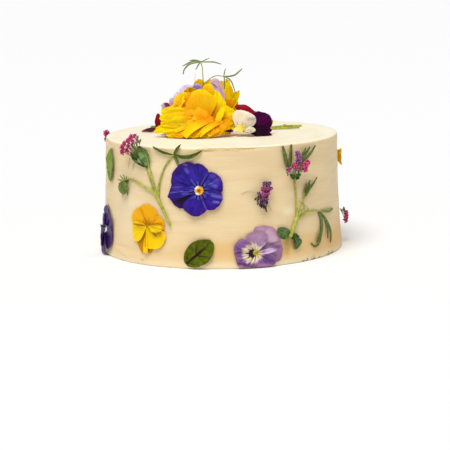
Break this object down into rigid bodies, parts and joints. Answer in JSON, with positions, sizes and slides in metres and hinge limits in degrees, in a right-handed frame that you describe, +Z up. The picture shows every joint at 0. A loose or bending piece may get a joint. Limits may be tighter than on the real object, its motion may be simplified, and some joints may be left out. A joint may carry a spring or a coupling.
{
  "type": "layer cake",
  "caption": "Tall round buttercream layer cake with pressed garden flowers and herbs round its side and a small fresh bouquet lying on its top.",
  "frame": {"origin": "middle of the cake's flat underside, where it rests", "axes": "+Z up; the front with the large blue pansy faces -Y; +X to the right"},
  "size_m": [0.2211, 0.2183, 0.1633],
  "materials": {
    "icing": "soft satin buttercream",
    "petal_blue": "matte fresh plant tissue",
    "petal_plum": "matte fresh plant tissue",
    "petal_yellow": "matte fresh plant tissue",
    "petal_amber": "matte fresh plant tissue",
    "petal_lilac": "matte fresh plant tissue",
    "petal_white": "matte fresh plant tissue",
    "petal_red": "matte fresh plant tissue",
    "bloom_yellow": "matte fresh plant tissue",
    "leaf_green": "matte fresh plant tissue",
    "herb_green": "matte fresh plant tissue",
    "stem_green": "matte fresh plant tissue",
    "blossom_pink": "matte fresh plant tissue",
    "blossom_purple": "matte fresh plant tissue"
  },
  "bodies": {
    "root": {"cake": "icing", "pansy_blue": "petal_blue", "pansy_violet_back": "petal_blue", "viola_violet_back": "petal_blue", "pansy_plum": "petal_plum", "pansy_yellow": "petal_yellow", "pansy_yellow_back": "petal_yellow", "viola_yellow_back": "petal_yellow", "pansy_amber": "petal_amber", "pansy_lilac": "petal_lilac", "pansy_lilac_back": "petal_lilac", "viola_lilac": "petal_lilac", "petal_lilac": "petal_lilac", "viola_white": "petal_white", "viola_mauve": "petal_white", "viola_red_left": "petal_red", "viola_red_right": "petal_red", "petal_maroon": "petal_red", "bloom_front": "bloom_yellow", "bloom_back": "bloom_yellow", "leaf_sorrel": "leaf_green", "leaf_sorrel_back": "leaf_green", "leaf_serrated": "leaf_green", "leaf_round_back": "leaf_green", "leaf_top_left": "leaf_green", "leaf_top_back": "leaf_green", "sprig_left": "herb_green", "sprig_right": "herb_green", "sprig_back": "herb_green", "sprig_top_left": "herb_green", "sprig_top_right": "herb_green", "stem_right_back": "stem_green", "stem_right_front": "stem_green", "blossom_left": "blossom_pink", "blossom_right": "blossom_pink", "blossom_edge": "blossom_pink", "blossom_rear": "blossom_pink", "blossom_back": "blossom_pink", "lavender_front": "blossom_purple", "lavender_back": "blossom_purple"}
  },
  "joints": []
}
